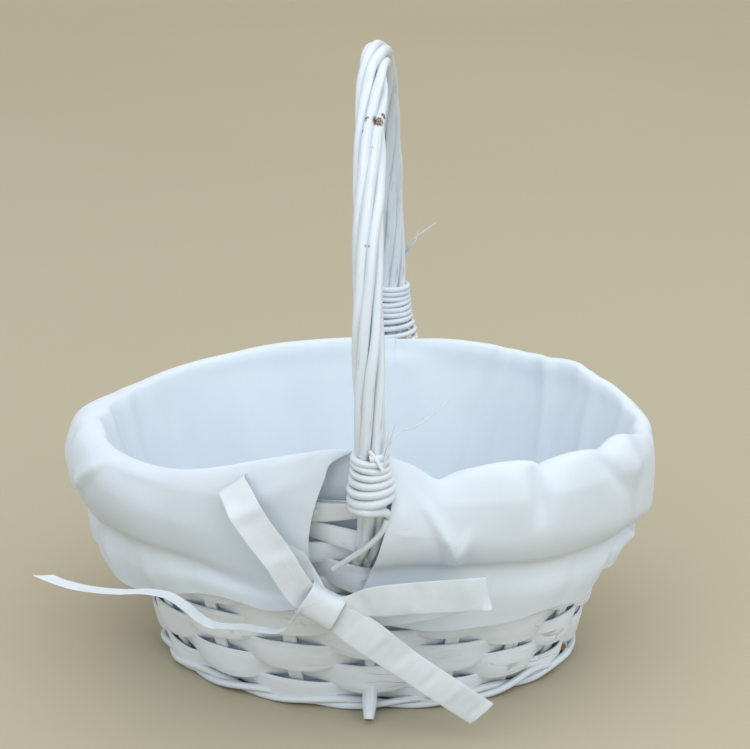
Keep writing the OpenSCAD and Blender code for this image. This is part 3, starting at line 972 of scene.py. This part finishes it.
def bag_relief(t, z):
    """How far the bag's folds stand out, in mm: less than nothing, since the wall is behind them."""
    total = 0 * t
    for angle, depth, width in BAG_FOLDS:
        drift = angle + 3.0 * np.sin(z * 0.045 + angle)
        total = total - depth * bump((t - drift) * ARC / width)
    return total * soft_step((z - 12) / 50)


def skin(t, z, out):
    """A point beside the wall in degrees and mm; above the rim the wall goes on more upright."""
    rim = WALL_TOP / MM
    height = np.where(z > rim, rim + 0.25 * (z - rim), z)
    point = wall(np.radians(t), height * MM, out * MM)
    point[:, 2] = z * MM
    return point


FLOOR_SHARE = 0.08
# Shares of the cloth, from the middle of the floor, at the bag's top, the roll's inner edge, the
# crest, the shoulder, the belly's underside, the crease, the strip's middle and the hem
CLOTH_STATIONS = np.array([0.30, 0.325, 0.375, 0.56, 0.70, 0.79, 0.895, 1.0])
BAG_SHARE, _, CREST, SHOULDER = CLOTH_STATIONS[:4]
HALF_CUT = (0.33, 0.22)  # the size of the cloth's pattern on each half


def half_liner(name, slit_back, edge_front, edge_back):
    """Half of the liner: from the middle of the basket's floor up, over the rim and down outside."""
    piece = new_blank(name, *HALF_GRID)

    def section(t, t_bag, bag_out):
        """Places outward and heights of the cloth's stations."""
        top = through(t_bag, ROLL_TOP)
        crest, shoulder, shoulder_z, crease, crease_z, strip_out = (
            through(t, [(row[0], row[k]) for row in SKIRT_SHAPE]) for k in range(1, 7))
        hem_z, hem_out = (through(t, [(row[0], row[k]) for row in HEM]) for k in (1, 2))
        belly = crease + 0.72 * (shoulder - crease)
        belly_z = crease_z + 0.32 * (shoulder_z - crease_z)
        crest = np.maximum(crest, bag_out + 1.6)
        outs = np.stack([bag_out, bag_out + 0.9, crest, shoulder, belly, crease, strip_out, hem_out])
        rise = 3.6 + 0.3 * crest
        heights = np.stack([
            top - rise, top - 1.1, top, shoulder_z, belly_z, crease_z, 0.5 * (crease_z + hem_z), hem_z])
        return outs, heights

    def place(s, v):
        u = 0.55 * s + 0.45 * s * s
        t_bag = SLIT_FRONT + (slit_back - SLIT_FRONT) * u
        by_slit = bump((t_bag - SLIT_FRONT) / 8.0) + 0.8 * bump((t_bag - slit_back) / 8.0)
        bag_out = BAG_OUT - 1.1 * by_slit
        # the floor and the inner wall
        roll_in = bag_out + 3.8 * by_slit
        bag_top = section(t_bag, t_bag, roll_in)[1][0]
        share = np.clip(v / FLOOR_SHARE, 0, 1)
        up = np.clip((v - FLOOR_SHARE) / (BAG_SHARE - FLOOR_SHARE), 0, 1)
        up = 0.35 * soft_step(up) + 0.65 * up
        z_in = BAG_FLOOR + (bag_top - BAG_FLOOR) * up
        bag_at = bag_out + (roll_in - bag_out) * soft_step((z_in - 98.5) / 5)
        bag = skin(t_bag, z_in, bag_at - 0.9 * soft_step((16 - z_in) / 10) + bag_relief(t_bag, z_in))
        bag[:, :2] *= share[:, None]
        ripple = 0.5 * np.sin(t_bag * 0.2) * share * (1 - share) + 1.4 * share ** 6 * (up <= 0)
        bag[:, 2] += ripple * MM
        # over the rim and down outside
        settle = soft_step((v - BAG_SHARE) / (CREST - BAG_SHARE))
        t = t_bag
        for _ in range(4):
            outs, heights = section(t, t_bag, roll_in)
            z_out = hermite(v, CLOTH_STATIONS, heights)
            front, back = through(z_out, edge_front), through(z_out, edge_back)
            t = t_bag + (front + (back - front) * u - t_bag) * settle
        skirt_share = soft_step((v - CREST + 0.03) / 0.12)
        relief = skirt_relief(t, z_out) * skirt_share + bag_relief(t, z_out) * (1 - skirt_share)
        out = hermite(v, CLOTH_STATIONS, outs) + relief * (1 - 0.7 * by_slit * (v < SHOULDER))
        z_out = z_out + 0.35 * np.sin(t * 0.37) * soft_step((v - 0.8) / 0.2)
        return np.where((v <= BAG_SHARE)[:, None], bag, skin(t, z_out, out))

    shape_blank(piece, place, *HALF_CUT)
    return piece


def liner(satin):
    """The bag and its turned-down skirt, one cloth, slit where the handle's legs pass."""
    left = half_liner("liner_left", SLIT_LEFT_BACK, EDGE_LEFT, EDGE_LEFT_BACK)
    right = half_liner("liner_right", SLIT_RIGHT_BACK, EDGE_RIGHT, EDGE_RIGHT_BACK)
    piece = joined("satin_liner", [left, right])
    close_up(fill=False)
    bpy.ops.object.modifier_add(type="SOLIDIFY")
    thickness = piece.modifiers[-1]
    thickness.thickness = CLOTH_THICK
    thickness.offset = 0
    bpy.ops.object.modifier_apply(modifier=thickness.name)
    hand_over(piece, "liner_satin", ["liner_bag", "skirt_left", "skirt_right"], satin)


# ---------------- the ribbon and its bow
RIBBON_THICK = 0.45 * MM
# The knot: its middle in mm, the way the band is wide, the way it is high, and its size
KNOT = (-10.9, -92.2, 58.4)
KNOT_AXIS = (0.86, 0.0, -0.51)
KNOT_UP = (0.51, 0.0, 0.86)
KNOT_WIDE, KNOT_HIGH, KNOT_DEEP = 14.2 * MM, 14.0 * MM, 9.2 * MM
# Stations of each part of the bow, in mm: a point of one edge, and the same of the other
LOOP_LEFT = [
    (-12.8, -92.2, 54, -8.8, -92.2, 61.6), (-18.7, -94, 57.2, -13.3, -93.8, 67),
    (-32.2, -95.2, 76.3, -21.9, -94, 82), (-41.2, -95.8, 89.6, -30.4, -94.6, 95.2),
    (-44.4, -95.4, 94.6, -33, -94.2, 99.6), (-46.4, -92.6, 98.2, -36, -91.2, 103.8),
    (-48.8, -88.6, 101.6, -39.4, -87, 107.8), (-48.2, -85.6, 101.4, -39, -84, 107.4),
    (-44.6, -84.4, 97, -33.6, -83.4, 102.6), (-31.6, -87.2, 77, -19.6, -86.6, 81.4),
    (-17, -89.4, 57.4, -10.6, -89.4, 65.8), (-12.6, -91.2, 54, -8.6, -91.2, 61.6),
]
LOOP_RIGHT = [
    (-8.5, -92, 54.4, -8.2, -92, 62), (-1.5, -93.4, 55.4, -1, -94, 63.2),
    (8.6, -95.8, 56.2, 8.4, -96.6, 68.2), (21.4, -98.2, 58.6, 21, -98.8, 71.6),
    (36.5, -97.8, 59.8, 36.2, -98.3, 73.2), (47.6, -96.4, 60.2, 46.2, -96.8, 73.5),
    (51.6, -94.8, 60.2, 50, -95.2, 73.2), (52.2, -92.9, 59.6, 50.6, -93.2, 72.6),
    (49.4, -91.2, 58.4, 48.2, -91.5, 71.2), (40, -90.2, 55.6, 39.2, -90.5, 68.6),
    (25, -89.4, 51.4, 24.6, -89.8, 64.4), (12, -89.4, 49.2, 12.2, -89.8, 62),
    (0, -90.4, 51.8, 0.8, -90.4, 62), (-7.5, -91.4, 54.2, -6.6, -91.4, 61.4),
]
TAIL_RIGHT = [
    (-13, -92.6, 54.2, -9.2, -92.6, 62), (-9, -93, 50.6, -4.4, -93, 60.8),
    (-6, -94, 48.2, -0.6, -94, 59.8), (21.2, -93.6, 28.3, 26.6, -93.6, 39.5),
    (35, -91.6, 17.4, 41, -91.6, 28.4), (46.8, -89.5, 8.2, 54, -89.5, 18.3),
]
# The left tail flies edge-on: its middle line, and the direction of its width
TAIL_LEFT = [
    (-11, -91, 60), (-16.5, -91.5, 58), (-19.9, -92, 54.8), (-22.9, -94, 50.4), (-26.6, -95, 48.9),
    (-32.6, -96, 49.5), (-40.1, -97, 50.9), (-47, -97.5, 51.2), (-51.4, -98, 52), (-56, -98.5, 54.9),
    (-60.9, -99, 59.6), (-67.4, -99.5, 64.1), (-74.1, -100, 65.7), (-85.3, -100.5, 65.6),
    (-92.7, -101, 66.2), (-102, -101.5, 67.8), (-109.2, -102, 70.3), (-113.6, -102, 72.2),
]
TAIL_LEFT_WAY = (0.08, 1.0, -0.28)


def both_edges(middle, way, width):
    """The two edges of a ribbon of one width, from its middle line."""
    half = unit(way) * width / 2
    return np.hstack([middle - half, middle + half])



TAIL_LEFT_WIDE = 11.5
# Each part: its edges, its points, its hollow in mm, the slant of its end and how it is held
RIBBONS = {
    "loop_left": (LOOP_LEFT, 150, 0.35, 0.0, "folded"),
    "loop_right": (LOOP_RIGHT, 170, 0.3, 0.0, "folded"),
    "tail_right": (TAIL_RIGHT, 110, 0.3, 0.12, "hung"),
    "tail_left": (both_edges(TAIL_LEFT, TAIL_LEFT_WAY, TAIL_LEFT_WIDE), 190, 0.3, -0.55, "hung"),
}


def ribbon(name, edges, count, hollow, slant):
    """A length of ribbon between two edges, with its mean width and its length."""
    one, other = np.hsplit(np.array(edges) * MM, 2)
    table = line_through(np.hstack([(one + other) / 2, other - one]), count)
    line, way = table[:, :3], table[:, 3:]
    wide = np.linalg.norm(way, axis=1)
    crease = (hollow + 0.5 * wander(np.linspace(0, 9, count), len(edges), 2.6)) * MM
    piece = strip(name, line, way, wide, RIBBON_THICK, 0.8, 30, camber=crease)
    run = unit(line[-1] - line[-2])
    across = unit(way[-1])
    for vertex in piece.data.vertices:
        from_end = np.array(vertex.co) - line[-1]
        share = soft_step((from_end @ run + 12 * MM) / (12 * MM))
        vertex.co = Vector(np.array(vertex.co) + run * (from_end @ across) * slant * share)
    return piece, wide.mean(), np.linalg.norm(np.diff(line, axis=0), axis=1).sum()


def bow(satin):
    """The knot's band, two loops and two tails."""
    turn = np.linspace(0, 2 * np.pi, 61)
    up = unit(KNOT_UP) * (KNOT_HIGH / 2 * fuller(np.cos(turn), 0.75))[:, None]
    back = np.array([0, 1, 0]) * (KNOT_DEEP / 2 * fuller(np.sin(turn), 0.75))[:, None]
    wide = KNOT_WIDE * (1 + 0.03 * np.sin(2 * turn))
    axis = np.tile(unit(KNOT_AXIS), (len(turn), 1))
    band = strip("bow_knot", np.array(KNOT) * MM + up + back, axis, wide, 0.7 * MM, 0.8, 26,
                 camber=0.7 * MM, closed=True)
    hand_over(band, "satin_ribbon", ["ribbon_knot"], satin)
    for part, (edges, count, hollow, slant, held) in RIBBONS.items():
        piece, width, length = ribbon("bow_" + part, edges, count, hollow, slant)
        hand_over(piece, "satin_ribbon", ["ribbon_" + part], satin)


# ---------------- everything together
set_camera()
set_lights()
lay_floor(floor_paper("pale_paper"))
splint_paint = painted("painted_splint", 70, 1500, 0.40)
rod_paint = painted("painted_rod", 45, 1300, 0.34, ROD_PAINT, ROD_SHADE, CHIPS)
cane_paint = painted("painted_cane", 90, 2200, 0.34, ROD_PAINT, ROD_SHADE)
cut_willow = cut_ends("cut_willow", DARK_BARK)
splints(splint_paint, cut_willow)
base_weavers(splint_paint)
wall_weavers(splint_paint, cut_willow)
rim_bands(splint_paint, cut_willow)
rim_nails(nail_paint("painted_nail"))
foot_rods(rod_paint, cut_willow)
handle_strands(rod_paint, cut_willow)
handle_core(rod_paint, cut_willow)
binding(cane_paint, cut_willow)
liner(cloth("liner_satin", LINER_WHITE, LINER_SHADE, 2600, 24.0, 0.50, 0.15))
bow(cloth("ribbon_satin", RIBBON_WHITE, RIBBON_SHADE, 3200, 60.0, 0.42, 0.12))
